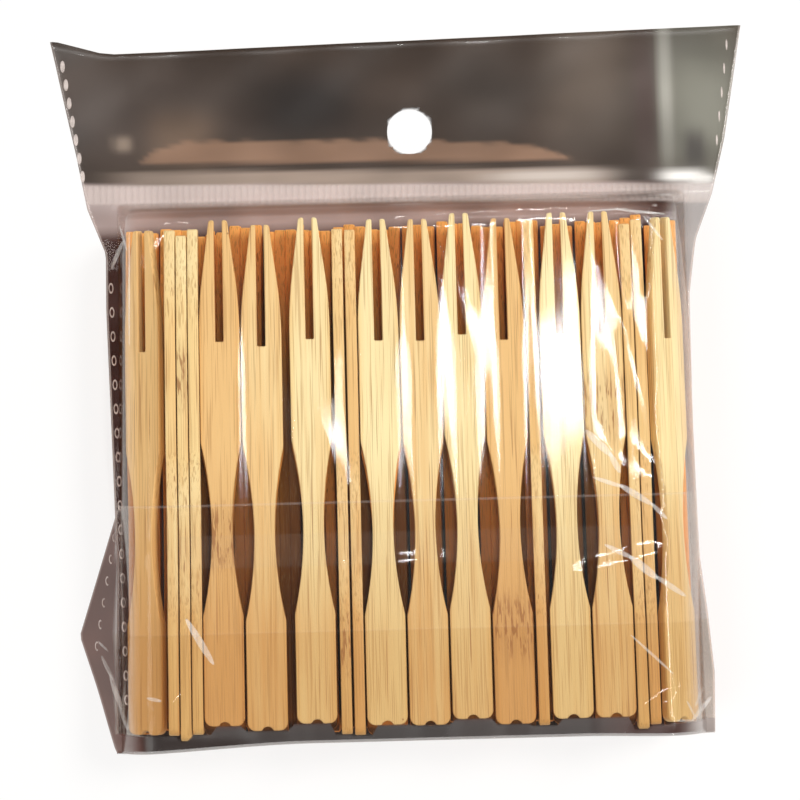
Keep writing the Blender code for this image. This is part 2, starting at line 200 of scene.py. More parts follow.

# White slivers along the sharp folds of the film: painted glints of lamplight, partly also the whitening of
# creased film. In millimetres: first end, last end and breadth
FOLD_GLINTS = (
    (31.8, -8.8, 36.6, -13.8, 1.4),
    (36.0, -13.0, 37.8, -16.6, 1.1),
    (32.8, -17.2, 38.5, -19.2, 0.8),
    (37.5, -18.6, 43.5, -22.5, 1.2),
    (43.0, -22.0, 45.9, -25.0, 0.8),
    (34.6, -29.2, 40.0, -32.0, 0.9),
    (39.0, -31.4, 44.0, -35.6, 1.5),
    (43.5, -35.0, 49.0, -38.9, 1.0),
    (38.8, -45.3, 46.4, -52.6, 0.5),
    (33.0, 30.0, 40.5, 30.3, 0.35),
    (38.0, 30.2, 47.0, 29.2, 0.5),
    (43.0, 29.0, 46.5, 24.5, 0.5),
    (-48.4, 29.0, -49.0, 8.0, 0.3),
    (-52.3, 22.2, -49.6, 27.2, 0.7),
    (-50.4, 30.0, -48.9, 25.0, 0.4),
    (49.4, -61.2, 53.6, -57.4, 0.9),
    (50.2, -58.6, 52.0, -55.6, 0.5),
    (46.6, -60.8, 51.4, -61.6, 0.6),
    (48.6, -57.4, 50.1, -60.4, 0.4),
    (-40.0, -40.4, -35.2, -48.8, 1.3),
    (-55.8, -47.2, -53.6, -51.8, 0.9),
    (-54.4, -50.4, -52.4, -57.0, 1.0),
    (-56.4, -44.6, -54.6, -46.4, 0.5),
    (-52.8, -56.4, -51.0, -60.4, 0.8),
    (-51.6, -61.0, -46.0, -61.8, 0.4),
    (-47.3, -54.4, -44.7, -55.0, 0.7),
)

GLINT_HEIGHT = 0.00014

# How the front film tilts where it lies on single forks: middle in millimetres and slope
FACETS = (
    (-33.0, 0.020),
    (-25.0, 0.018),
    (-15.6, 0.016),
    (-4.2, 0.004),
    (3.4, 0.024),
    (11.0, 0.014),
    (18.8, 0.036),
    (28.4, 0.000),
    (35.8, -0.036),
    (41.0, 0.000),
)
FACET_REACH = 0.0036


def length_property(name, description, default):
    return FloatProperty(
        name=name, description=description, default=default, min=0.0, precision=5, unit="LENGTH"
    )


def power_property(name, description, default):
    return FloatProperty(name=name, description=description, default=default, min=0.0, unit="POWER")


def count_property(name, description, default, highest):
    return IntProperty(name=name, description=description, default=default, min=20, max=highest)


def colour_property(name, description, default):
    return FloatVectorProperty(
        name=name, description=description, default=default, size=4, min=0.0, max=1.0, subtype="COLOR"
    )


class ForkSettings(bpy.types.PropertyGroup):
    """Sizes and colours of one bamboo fork."""

    length: length_property("Length", "From the end of the handle to the tips of the tines", 0.0900)
    width: length_property("Width", "Across the handle and the head", 0.0072)
    thickness: length_property("Thickness", "Through the bamboo", 0.0019)
    handle: length_property("Handle", "Length of the straight handle", 0.0196)
    waist: length_property("Waist", "Length of the hollowed waist", 0.0308)
    waist_width: length_property("Waist width", "Across the narrowest place", 0.0037)
    slot: length_property("Slot width", "Gap between the two tines", 0.00145)
    slot_depth: length_property("Slot depth", "Length of the tines", 0.0216)
    taper: length_property("Taper", "Length over which the tines narrow to their tips", 0.0150)
    tip: length_property("Tip width", "Across the tip of one tine", 0.0009)
    notch: length_property("Notch", "Radius of the notch in the end of the handle", 0.0011)
    rounding: length_property("Edge rounding", "How far the edges of the faces are worn round", 0.00022)
    pale: colour_property("Pale bamboo", "Colour of the palest strips", (0.91, 0.76, 0.41, 1.0))
    warm: colour_property("Warm bamboo", "Colour of the darkest strips", (0.78, 0.49, 0.20, 1.0))
    # Painted shade: the darker, warmer tint of the forks inside the pile
    pile_shade: colour_property("Deep bamboo", "Tint of the forks inside the pile", (0.98, 0.66, 0.40, 1.0))
    grain: colour_property("Grain", "Colour of the fine lines of the grain", (0.43, 0.22, 0.07, 1.0))
    joint: colour_property("Joint", "Colour of the flecks at a bamboo joint", (0.31, 0.12, 0.035, 1.0))


class FilmSettings(bpy.types.PropertyGroup):
    """Sizes and colours of the film bag."""

    thickness: length_property("Film", "Thickness of the film", 0.00008)
    hole: length_property("Hang hole", "Radius of the hole that the pack hangs by", 0.0040)
    ripple: length_property("Ripple", "Height of the soft ripples in the front film", 0.00012)
    rows: count_property("Rows", "Rows of faces along the pouch", 84, 120)
    columns: count_property("Columns", "Columns of faces across the pile", 80, 110)
    haze: colour_property("Haze", "Colour of creased or welded film", (0.80, 0.70, 0.66, 1.0))
    veil: colour_property("Veil", "Tint of the doubled film over the handles", (0.955, 0.935, 0.90, 1.0))
    glue: colour_property("Glue", "Colour of the glue strip", (0.80, 0.74, 0.66, 1.0))


class StageSettings(bpy.types.PropertyGroup):
    """Floor, lamps and camera."""

    camera_height: length_property("Camera height", "Camera above the forks", 0.90)
    view_width: length_property("View width", "Breadth that the camera sees at the forks", 0.1421)
    camera_turn: FloatProperty(
        name="Camera turn",
        description="How far the camera is turned against the pack",
        default=-0.0262,
        subtype="ANGLE",
    )
    floor: colour_property("Floor", "Colour of the floor", (0.92, 0.92, 0.92, 1.0))
    sky: FloatProperty(name="Sky", description="Strength of the light from all round", default=0.36, min=0.0)
    key: power_property("Key lamp", "Power of the lamp on the right", 6.2)
    fill: power_property("Fill lamp", "Power of the lamp on the left", 3.9)
    glare: power_property("Glare", "Power of the small lamps that the film mirrors", 0.12)


# Node materials


class NodeSheet:
    """A material's nodes, with short ways to add and join them."""

    def __init__(self, name):
        self.material = bpy.data.materials.new(name)
        self.material.use_nodes = True
        self.tree = self.material.node_tree
        self.tree.nodes.clear()

    def add(self, kind, values=None, **settings):
        node = self.tree.nodes.new(kind)
        for key, value in settings.items():
            setattr(node, key, value)
        for key, value in (values or {}).items():
            self.feed(node.inputs[key], value)
        return node

    def feed(self, socket, value):
        if isinstance(value, bpy.types.NodeSocket):
            self.tree.links.new(value, socket)
        else:
            socket.default_value = value

    def maths(self, operation, first, second=0.0, clamp=False):
        node = self.add("ShaderNodeMath", {0: first, 1: second}, operation=operation, use_clamp=clamp)
        return node.outputs[0]

    def fade(self, value, low, high, start=0.0, end=1.0):
        """start below low, end above high, and a smooth change between them."""
        node = self.add(
            "ShaderNodeMapRange",
            {"Value": value, "From Min": low, "From Max": high, "To Min": start, "To Max": end},
            interpolation_type="SMOOTHSTEP",
        )
        return node.outputs["Result"]

    def band(self, value, middle, reach, soft):
        """1 within reach of middle and 0 beyond it."""
        away = self.maths("ABSOLUTE", self.maths("SUBTRACT", value, middle))
        return self.fade(away, reach - soft, reach + soft, 1.0, 0.0)

    def mix(self, factor, first, second, blend="MIX"):
        node = self.add("ShaderNodeMix", data_type="RGBA", blend_type=blend)
        self.feed(node.inputs[0], factor)
        self.feed(node.inputs[6], first)
        self.feed(node.inputs[7], second)
        return node.outputs[2]

    def noise(self, vector, scale, detail, roughness):
        stretch = self.add("ShaderNodeMapping", {"Vector": vector, "Scale": scale}).outputs[0]
        node = self.add(
            "ShaderNodeTexNoise",
            {"Vector": stretch, "Scale": 1.0, "Detail": detail, "Roughness": roughness},
        )
        return node.outputs["Fac"]

    def place(self):
        """The place on the object as x, y and z sockets, and as a vector."""
        vector = self.add("ShaderNodeTexCoord").outputs["Object"]
        parts = self.add("ShaderNodeSeparateXYZ", {0: vector})
        return parts.outputs[0], parts.outputs[1], parts.outputs[2], vector

    def number(self, attribute):
        return self.add("ShaderNodeAttribute", attribute_name=attribute).outputs["Fac"]

    def vector(self, attribute):
        return self.add("ShaderNodeAttribute", attribute_name=attribute).outputs["Vector"]

    def finish(self, shader):
        self.add("ShaderNodeOutputMaterial", {"Surface": shader})
        return self.material


def bamboo_material(settings):
    """Cut bamboo: long fine grain, strips from pale to warm, flecks at a joint, and a few dark dots, with
    painted shade on the forks inside the pile.
    """
    sheet = NodeSheet("cut_bamboo")
    fibre = sheet.vector("fibre")
    look = sheet.add("ShaderNodeSeparateXYZ", {0: sheet.vector("look")})
    tone, joint_place, seed = look.outputs[0], look.outputs[1], look.outputs[2]
    shift = sheet.add("ShaderNodeCombineXYZ", {0: seed, 1: sheet.maths("MULTIPLY", seed, 0.37), 2: seed})
    own = sheet.add("ShaderNodeVectorMath", {0: fibre, 1: shift.outputs[0]}, operation="ADD").outputs[0]
    parts = sheet.add("ShaderNodeSeparateXYZ", {0: fibre}).outputs
    across, along = sheet.maths("ABSOLUTE", parts[0]), parts[1]
    strips = sheet.noise(own, (1000.0, 9.0, 1000.0), 2.0, 0.55)
    lines = sheet.noise(own, (4600.0, 55.0, 4600.0), 1.0, 0.6)
    patches = sheet.noise(own, (160.0, 45.0, 160.0), 1.0, 0.5)
    warmth = sheet.maths("ADD", sheet.maths("MULTIPLY", strips, 0.5), sheet.maths("MULTIPLY", patches, 0.5))
    warmth = sheet.fade(sheet.maths("ADD", warmth, sheet.maths("SUBTRACT", tone, 0.5)), 0.14, 0.86)
    colour = sheet.mix(warmth, tuple(settings.pale), tuple(settings.warm))
    # Inner forks: painted shade inside the pile, each fork painted from dark to lit by its tone, and painted
    # light towards their tips
    inner = sheet.fade(tone, 1.00, 1.10)
    lit = sheet.fade(tone, 1.20, 1.50, 0.45, 1.22)
    depth = sheet.mix(1.0, tuple(settings.pile_shade), lit, "MULTIPLY")
    depth = sheet.mix(sheet.fade(along, 0.006, 0.034), depth, LIT_TIPS)
    colour = sheet.mix(inner, colour, depth, "MULTIPLY")
    # Darker and warmer towards the end of the handle
    towards_handle = sheet.fade(along, -0.036, 0.010, 1.0, 0.0)
    colour = sheet.mix(towards_handle, colour, HANDLE_TINT, "MULTIPLY")
    # Painted shade along the fork's sides
    colour = sheet.mix(sheet.fade(across, 0.0022, 0.0037, 0.0, 0.7), colour, SIDE_SHADE, "MULTIPLY")
    streaks = sheet.noise(own, (3000.0, 40.0, 3000.0), 1.0, 0.5)
    colour = sheet.mix(sheet.fade(lines, 0.53, 0.64, 0.0, 0.48), colour, tuple(settings.grain))
    colour = sheet.mix(sheet.fade(streaks, 0.66, 0.73, 0.0, 0.60), colour, tuple(settings.joint))
    near_joint = sheet.band(along, joint_place, 0.0052, 0.0030)
    flecks = sheet.fade(sheet.noise(own, (2300.0, 260.0, 2300.0), 2.0, 0.6), 0.52, 0.60)
    flecks = sheet.maths("ADD", sheet.maths("MULTIPLY", flecks, 0.66), 0.14)
    stain = sheet.maths("MULTIPLY", near_joint, flecks)
    colour = sheet.mix(stain, colour, tuple(settings.joint))
    cells = sheet.add("ShaderNodeTexVoronoi", {"Vector": own, "Scale": 330.0}, feature="F1")
    draw = sheet.add("ShaderNodeSeparateColor", {0: cells.outputs["Color"]}).outputs[0]
    picked = sheet.fade(draw, 0.93, 0.95)
    dots = sheet.maths("MULTIPLY", sheet.fade(cells.outputs["Distance"], 0.04, 0.08, 1.0, 0.0), picked)
    colour = sheet.mix(sheet.maths("MULTIPLY", dots, 0.7), colour, tuple(settings.joint))
    facing = sheet.add("ShaderNodeNewGeometry").outputs["Normal"]
    upward = sheet.add("ShaderNodeSeparateXYZ", {0: facing}).outputs[2]
    shade = sheet.maths("MULTIPLY", sheet.fade(upward, 0.3, 0.7), inner)
    shade = sheet.maths("MULTIPLY", shade, sheet.fade(along, -0.0440, -0.0422, 0.93, 0.0))
    colour = sheet.mix(shade, colour, END_SHADE)
    bump = sheet.add("ShaderNodeBump", {"Strength": 0.4, "Distance": 0.00005, "Height": lines})
    shader = sheet.add(
        "ShaderNodeBsdfPrincipled",
        {
            "Base Color": colour,
            "Roughness": sheet.fade(strips, 0.3, 0.7, 0.42, 0.58),
            "Normal": bump.outputs[0],
            "Specular IOR Level": sheet.maths("SUBTRACT", 0.22, sheet.maths("MULTIPLY", inner, 0.19)),
        },
    )
    return sheet.finish(shader.outputs[0])


def film_material(settings):
    """Clear film that mirrors the lamps: smoky where its tone says so, with painted shadow just below the
    fork ends, milky where it is welded or cut.
    """
    sheet = NodeSheet("bag_film")
    x, y, _, place = sheet.place()
    panel, rim = sheet.number("panel"), sheet.number("rim")
    cloud = sheet.noise(place, (60.0, 90.0, 60.0), 1.0, 0.55)
    flap = sheet.fade(panel, 1.6, 1.9)
    # Painted shadow on the flap just below the handle ends of the front forks
    end_shadow = sheet.maths("SUBTRACT", y, sheet.number("foot"))
    end_shadow = sheet.maths("MULTIPLY", sheet.fade(end_shadow, -0.0003, 0.0003, FLAP_COVER, 0.0), flap)
    smoke = sheet.maths("MAXIMUM", sheet.number("smoke"), end_shadow)
    smoke = sheet.maths("MULTIPLY", smoke, sheet.fade(cloud, 0.3, 0.7, 1.03, 0.96))
    tone = sheet.mix(1.0, sheet.vector("tone"), sheet.fade(cloud, 0.3, 0.7, 0.82, 1.20), "MULTIPLY")

    ahead = sheet.maths("SUBTRACT", 1.0, sheet.band(panel, 1.0, 0.5, 0.02), clamp=True)
    askew = sheet.maths("ADD", y, sheet.maths("MULTIPLY", x, SEAL_TILT))
    seal = sheet.band(askew, SEAL_LINE + 0.0006, SEAL_REACH, 0.0004)
    ribs = sheet.maths("SINE", sheet.maths("MULTIPLY", x, RIBS))
    ribs = sheet.maths("MULTIPLY", ribs, seal)
    weld = sheet.maths("MULTIPLY", seal, sheet.fade(ribs, 0.2, 1.0, 0.24, 0.17))
    edge = sheet.fade(rim, 0.0001, 0.0004, 0.20, 0.0)
    cut = sheet.maths("MULTIPLY", sheet.band(y, FLAP_TOP - 0.0002, 0.00022, 0.0001), flap)
    front = sheet.band(panel, 0.0, 0.4, 0.02)
    mouth = sheet.maths("MULTIPLY", sheet.band(y, MOUTH_LINE, 0.0002, 0.0001), front)
    lines = sheet.maths("ADD", sheet.maths("MULTIPLY", cut, 0.05), sheet.maths("MULTIPLY", mouth, 0.01))
    milk = sheet.maths("ADD", sheet.maths("MULTIPLY", weld, ahead), sheet.maths("ADD", edge, lines))
    milk = sheet.maths("ADD", milk, FILM_MILK, clamp=True)
    covered = sheet.maths("MAXIMUM", smoke, milk, clamp=True)
    share = sheet.maths("DIVIDE", smoke, sheet.maths("ADD", smoke, milk), clamp=True)
    colour = sheet.mix(share, tuple(settings.haze), tone)
    doubled = sheet.fade(y, MOUTH_LINE - 0.0001, MOUTH_LINE + 0.0001, 1.0, 0.35)
    tint = sheet.mix(sheet.maths("MULTIPLY", flap, doubled), WHITE, tuple(settings.veil))

    wrinkles = sheet.noise(place, (240.0, 120.0, 240.0), 0.0, 0.5)
    relief = sheet.maths("ADD", sheet.maths("MULTIPLY", wrinkles, 0.22), sheet.maths("MULTIPLY", ribs, 0.3))
    bump = sheet.add("ShaderNodeBump", {"Strength": 0.35, "Distance": 0.0001, "Height": relief})
    sheen = sheet.maths("MAXIMUM", ahead, sheet.fade(y, TIP_END, SEAL_LINE))
    body = sheet.add(
        "ShaderNodeBsdfPrincipled",
        {
            "Base Color": colour,
            "Roughness": 0.35,
            "Normal": bump.outputs[0],
            "Specular IOR Level": sheet.maths("MULTIPLY", sheen, 0.5),
        },
    )
    clear = sheet.add("ShaderNodeBsdfTransparent", {"Color": tint})
    layer = sheet.add("ShaderNodeMixShader", {0: covered, 1: clear.outputs[0], 2: body.outputs[0]})
    mirror = sheet.add("ShaderNodeBsdfGlossy", {"Roughness": FILM_ROUGHNESS, "Normal": bump.outputs[0]})
    slant = sheet.add("ShaderNodeLayerWeight", {"Blend": 0.5, "Normal": bump.outputs[0]}).outputs["Facing"]
    gloss = sheet.maths("ADD", sheet.maths("MULTIPLY", sheet.maths("POWER", slant, 5.0), 0.9), FILM_GLOSS)
    shader = sheet.add("ShaderNodeMixShader", {0: gloss, 1: layer.outputs[0], 2: mirror.outputs[0]})
    return sheet.finish(shader.outputs[0])


def haze_material(name, colour, strength):
    """Milky plastic with fine mottling, for weld marks, glue and the painted glints along the folds."""
    sheet = NodeSheet(name)
    place = sheet.place()[3]
    mottle = sheet.noise(place, (1400.0, 900.0, 1400.0), 3.0, 0.6)
    bump = sheet.add("ShaderNodeBump", {"Strength": 0.4, "Distance": 0.00005, "Height": mottle})
    body = sheet.add(
        "ShaderNodeBsdfPrincipled", {"Base Color": colour, "Roughness": 0.3, "Normal": bump.outputs[0]}
    )
    clear = sheet.add("ShaderNodeBsdfTransparent", {"Color": WHITE})
    covered = sheet.fade(mottle, 0.3, 0.7, strength * 0.75, strength * 1.25)
    shader = sheet.add("ShaderNodeMixShader", {0: covered, 1: clear.outputs[0], 2: body.outputs[0]})
    return sheet.finish(shader.outputs[0])


# Modelling by hand


def deselect_all():
    if bpy.context.object and bpy.context.object.mode != "OBJECT":
        bpy.ops.object.mode_set(mode="OBJECT")
    bpy.ops.object.select_all(action="DESELECT")


def make_active(piece):
    deselect_all()
    piece.select_set(True)
    bpy.context.view_layer.objects.active = piece


def add_block(name, low, high):
    """A block between two corners."""
    deselect_all()
    low, high = Vector(low), Vector(high)
    bpy.ops.mesh.primitive_cube_add(size=1.0, location=(low + high) / 2)
    block = bpy.context.object
    block.name = name
    block.scale = high - low
    bpy.ops.object.transform_apply(location=True, rotation=False, scale=True)
    return block


def add_drum(name, radius, depth, location, vertices):
    deselect_all()
    bpy.ops.mesh.primitive_cylinder_add(vertices=vertices, radius=radius, depth=depth, location=location)
    drum = bpy.context.object
    drum.name = name
    bpy.ops.object.transform_apply(location=True, rotation=False, scale=False)
    return drum


def cut_away(piece, cutter):
    """Takes the cutter's shape out of the piece, and removes the cutter."""
    make_active(piece)
    cut = piece.modifiers.new("cut", "BOOLEAN")
    cut.operation = "DIFFERENCE"
    cut.solver = "EXACT"
    cut.object = cutter
    bpy.ops.object.modifier_apply(modifier=cut.name)
    bpy.data.objects.remove(cutter, do_unlink=True)


def select_faces(piece, wanted):
    """Leaves edit mode's faces selected where wanted(face) is true."""
    bpy.ops.object.mode_set(mode="EDIT")
    bpy.ops.mesh.select_mode(type="FACE")
    bpy.ops.mesh.select_all(action="DESELECT")
    bpy.ops.object.mode_set(mode="OBJECT")
    for polygon in piece.data.polygons:
        polygon.select = wanted(polygon)
    bpy.ops.object.mode_set(mode="EDIT")


def round_upright_edges(piece, places, offset, segments):
    """Bevels the upright edges that stand at these places."""
    make_active(piece)
    bpy.ops.object.mode_set(mode="EDIT")
    bpy.ops.mesh.select_mode(type="EDGE")
    bpy.ops.mesh.select_all(action="DESELECT")
    bpy.ops.object.mode_set(mode="OBJECT")
    points = [vertex.co for vertex in piece.data.vertices]
    for edge in piece.data.edges:
        first, second = (points[index] for index in edge.vertices)
        upright = (first.xy - second.xy).length < 1e-6
        edge.select = upright and any((first.xy - Vector(spot)).length < 5e-5 for spot in places)
    bpy.ops.object.mode_set(mode="EDIT")
    bpy.ops.mesh.bevel(offset=offset, segments=segments, affect="EDGES", clamp_overlap=True)
    bpy.ops.object.mode_set(mode="OBJECT")


def model_fork(settings):
    """One fork about the origin, tines towards +Y, cut from a flat strip and worn round at its edges."""
    half_width, half_length = settings.width / 2, settings.length / 2
    half_thick = settings.thickness / 2 - settings.rounding
    depth = settings.thickness * 2
    fork = add_block(
        "bamboo_fork", (-half_width, -half_length, -half_thick), (half_width, half_length, half_thick)
    )
    bite = (settings.width - settings.waist_width) / 2
    radius = ((settings.waist / 2) ** 2 + bite**2) / (2 * bite)
    waist_middle = -half_length + settings.handle + settings.waist / 2
    for side in (-1, 1):
        middle = (side * (settings.waist_width / 2 + radius), waist_middle, 0.0)
        cut_away(fork, add_drum("waist_cutter", radius, depth, middle, 300))
    slot_foot = half_length - settings.slot_depth
    low = (-settings.slot / 2, slot_foot, -depth)
    high = (settings.slot / 2, half_length + depth, depth)
    cut_away(fork, add_block("slot_cutter", low, high))
    notch_place = (0.0, -half_length - settings.notch * 0.3, 0.0)
    cut_away(fork, add_drum("notch_cutter", settings.notch, depth, notch_place, 18))
    tip_side = settings.slot / 2 + settings.tip
    taper_foot = half_length - settings.taper
    lean = math.atan2(half_width - tip_side, settings.taper)
    for side in (-1, 1):
        reach = side * settings.width
        low = (min(0.0, reach), 0.0, -depth)
        high = (max(0.0, reach), settings.taper * 2, depth)
        taper = add_block("taper_cutter", low, high)
        taper.location = (side * half_width, taper_foot, 0.0)
        taper.rotation_euler = (0.0, 0.0, side * lean)
        bpy.ops.object.transform_apply(location=True, rotation=True, scale=False)
        cut_away(fork, taper)
    notch_side = settings.notch * math.sqrt(1 - 0.3**2)
    shoulder = -half_length + settings.handle
    corners = (
        (half_width, -half_length, 0.0015, 5),
        (notch_side, -half_length, 0.00022, 2),
        (half_width, taper_foot, 0.0045, 5),
        (half_width, shoulder, 0.0003, 2),
        (half_width, shoulder + settings.waist, 0.0003, 2),
        (settings.slot / 2, slot_foot, 0.0002, 2),
        (tip_side, half_length, 0.0004, 3),
        (settings.slot / 2, half_length, 0.0003, 3),
    )
    for x, y, radius, segments in corners:
        round_upright_edges(fork, ((x, y), (-x, y)), radius, segments)
    make_active(fork)
    bpy.ops.object.mode_set(mode="EDIT")
    bpy.ops.mesh.select_all(action="SELECT")
    bpy.ops.mesh.remove_doubles(threshold=1e-6)
    bpy.ops.mesh.dissolve_limited(angle_limit=math.radians(0.4))
    bpy.ops.object.mode_set(mode="OBJECT")
    for inwards, upwards in ((0.25, 0.60), (0.60, 0.40)):
        select_faces(fork, lambda polygon: abs(polygon.normal.z) > 0.9)
        bpy.ops.mesh.inset(
            thickness=settings.rounding * inwards, depth=settings.rounding * upwards, use_interpolate=False
        )
        bpy.ops.object.mode_set(mode="OBJECT")
    make_active(fork)
    bpy.ops.object.shade_smooth_by_angle(angle=math.radians(24))
    return fork


def lie_of(node):
    """Middle of a fork or bundle of the frame, and its directions across, along and through the bamboo."""
    points = np.array([vertex.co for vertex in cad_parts[node].data.vertices])
    directions = np.linalg.eigh(np.cov(points.T))[1].T
    through, along = directions[0], directions[2]
    along = along * np.sign(along[1])
    through = through * np.sign(through[2] + through[0] * 0.5)
    across = np.cross(along, through)
    axes = np.array([across, along, through])
    reach = points @ axes.T
    middle = ((reach.max(axis=0) + reach.min(axis=0)) / 2) @ axes
    return Vector(middle), Matrix(axes.tolist()).transposed()


def mark_mesh(mesh, name, values):
    """Stores one vector for every point of the mesh."""
    stored = mesh.attributes.new(name, "FLOAT_VECTOR", "POINT")
    stored.data.foreach_set("vector", np.asarray(values, dtype=np.float32).ravel())


def lay_fork(master, name, middle, axes, tone, joint, seed):
    """A copy of the master fork with its place in its mesh."""
    mesh = master.data.copy()
    mesh.name = name
    local = np.array([vertex.co for vertex in mesh.vertices])
    mark_mesh(mesh, "fibre", local)
    mark_mesh(mesh, "look", np.tile((tone, joint, seed), (len(local), 1)))
    mesh.transform(Matrix.Translation(middle) @ axes.to_4x4())
    piece = bpy.data.objects.new(name, mesh)
    bpy.context.collection.objects.link(piece)
    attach(piece, BODY)
    return piece


# The film bag. Its main sizes are those of the solid it replaces

PACK_TOP = 0.06335
PACK_FOOT = -0.0635
HANDLE_LINE = -0.06265
FORK_MIDDLE = HANDLE_LINE + 0.0450
TIP_END = HANDLE_LINE + 0.0900 + 0.0030 + 0.0007
SEAL_LINE = TIP_END + 0.0027
FILM_FLOOR = 0.00015
FRONT_HEIGHT = 0.01545
HANDLE_END = -0.0604
HEADER_HALF_WIDTH = 0.0613
PILE_HALF_WIDTH = 0.05036
SEAL_HEIGHT = 0.0060
SEAL_REACH = 0.0017
SEAL_TILT = 0.022
HEADER_EDGE_HEIGHT = 0.0008
FIN_HEIGHT = 0.0046
FIN_DROOP = 0.30
FIN_RISE = 0.0120
WALL_RUN = 0.0011
ROUND_RUN = 0.0090
FACE_GAP = 0.0003
FLAP_REACH = 0.0432
FLAP_TOP = PACK_FOOT + FLAP_REACH
FLAP_RISE = 0.00048
FLAP_CORNER_REACH = 0.0062
HEADER_ROWS = 40
MOUTH_LINE = -0.0434
RIBS = 2 * math.pi / 0.00115
HEADER_CORNER = 0.0009
HEADER_FOLD = -0.0524
HEADER_DIP = 0.0024
FOOT_CORNER_DROP = 0.0014
HOLE_PLACE = (0.0020, 0.04555)
EDGE_STATIONS = (-0.0635, -0.0530, -0.0420, -0.0320, -0.0090, 0.0150, 0.0250, 0.0330, 0.0430, 0.0635)
LEFT_INSETS = (0.0078, 0.0080, 0.0084, 0.0088, 0.0084, 0.0080, 0.0082, 0.0052, 0.0034, -HEADER_CORNER)
RIGHT_INSETS = (0.0072, 0.0070, 0.0080, 0.0092, 0.0098, 0.0098, 0.0084, 0.0054, 0.0028, -HEADER_CORNER)


def smooth(t):
    t = np.clip(t, 0.0, 1.0)
    return t * t * (3 - 2 * t)


def side_edge(y, side):
    insets = LEFT_INSETS if side < 0 else RIGHT_INSETS
    return side * (HEADER_HALF_WIDTH - float(np.interp(y, EDGE_STATIONS, insets)))


def flap_edge(y, side):
    """The flap's side edge. Its left corner springs out past the bag, and its top corner tucks in."""
    if side > 0:
        return side_edge(y, side)
    stops = (0.0, FLAP_REACH * 0.46, FLAP_REACH)
    reach = np.interp(y - PACK_FOOT, stops, (0.0, FLAP_CORNER_REACH, -FLAP_CORNER_REACH / 4))
    return side_edge(PACK_FOOT, side) - float(reach)


def pile_side(y):
    """Half the breadth of the pile, which fans out towards the handles."""
    fan = math.tan(math.radians(1.007))
    return PILE_HALF_WIDTH + (FORK_MIDDLE - np.minimum(y, TIP_END)) * fan + FACE_GAP


def sheet_height(x, y):
    """Where the two faces lie together: the side fins and the header."""
    beyond = np.maximum(0.0, np.abs(x) - pile_side(y))
    fin = FIN_HEIGHT - FIN_DROOP * beyond
    lift = np.clip((y - SEAL_LINE) / (PACK_TOP - SEAL_LINE), 0.0, 1.0)
    header = SEAL_HEIGHT + (HEADER_EDGE_HEIGHT - SEAL_HEIGHT) * lift
    towards_header = smooth((y - SEAL_LINE + FIN_RISE) / FIN_RISE)
    bend = smooth((-HEADER_HALF_WIDTH + 0.0135 - x) / 0.0150) * 0.0022
    wave = 0.00030 * np.sin(2 * math.pi * (x + 0.4 * y) / 0.046)
    wave += 0.00016 * np.sin(2 * math.pi * (x - y) / 0.019)
    return fin + (header - fin) * towards_header + (bend + wave) * lift


def header_dip(x):
    """How far the header's top edge falls short of its corners: most at the fold near its left end."""
    return HEADER_DIP * np.interp(x, (-HEADER_HALF_WIDTH, HEADER_FOLD, HEADER_HALF_WIDTH), (0.0, 1.0, 0.0))


def foot_drop(x):
    """How far the fold at the foot sags below its straight line towards its left end."""
    return FOOT_CORNER_DROP * (smooth((-0.018 - x) / 0.036) + 0.25 * smooth((x - 0.030) / 0.016))


def inside_side(x, y):
    return pile_side(y) - np.abs(x)


def creases(x, y, lines):
    """Sum of soft ridges along straight lines that fade at their ends."""
    total = np.zeros_like(x)
    for x0, y0, x1, y1, width, height in lines:
        start, run = np.array((x0, y0)) / 1000, np.array((x1 - x0, y1 - y0)) / 1000
        t = ((x - start[0]) * run[0] + (y - start[1]) * run[1]) / (run @ run)
        near = np.clip(t, 0.0, 1.0)
        away = np.hypot(x - start[0] - near * run[0], y - start[1] - near * run[1]) / (width / 1000)
        total += height / 1000 * np.exp(-(away**2)) * (0.35 + 0.65 * np.sin(np.pi * near))
    return total


def ripples(x, y, height):
    """Slack in film that is held by the forks under it: never below them."""
    slow = np.sin(2 * math.pi * (x * 38 + y * 9) + 1.7 * np.sin(2 * math.pi * y * 17 + 0.8))
    quick = np.sin(2 * math.pi * (x * 71 - y * 26) + 1.3 * np.sin(2 * math.pi * (y * 31 + x * 12)))
    tilt = np.zeros_like(x)
    for middle, slope in FACETS:
        away = x - middle / 1000 - (FORK_MIDDLE - y) * middle / 50000
        tilt += slope * away * (1 - smooth((np.abs(away) - FACET_REACH + 0.0006) / 0.0006))
    return height * (1.0 + (0.62 * slow + 0.34 * quick) * 0.10) + tilt


def front_height(x, y, lines, ripple):
    sheet = sheet_height(x, y) + FACE_GAP / 2
    across = 1 - (1 - np.clip((inside_side(x, y) + WALL_RUN) / ROUND_RUN, 0.0, 1.0)) ** 3.6
    along = 1 - (1 - np.clip((SEAL_LINE - y) / (SEAL_LINE - TIP_END), 0.0, 1.0)) ** 2.4
    held = across * along
    pressed = creases(x, y, lines) * (0.25 + 0.75 * held)
    return sheet + (FRONT_HEIGHT - sheet + ripples(x, y, ripple)) * held + pressed


def back_height(x, y):
    sheet = sheet_height(x, y) - FACE_GAP / 2
    across = smooth((inside_side(x, y) + WALL_RUN) / WALL_RUN)
    along = smooth((SEAL_LINE - y) / (SEAL_LINE - TIP_END))
    return sheet + (FILM_FLOOR - sheet) * across * along


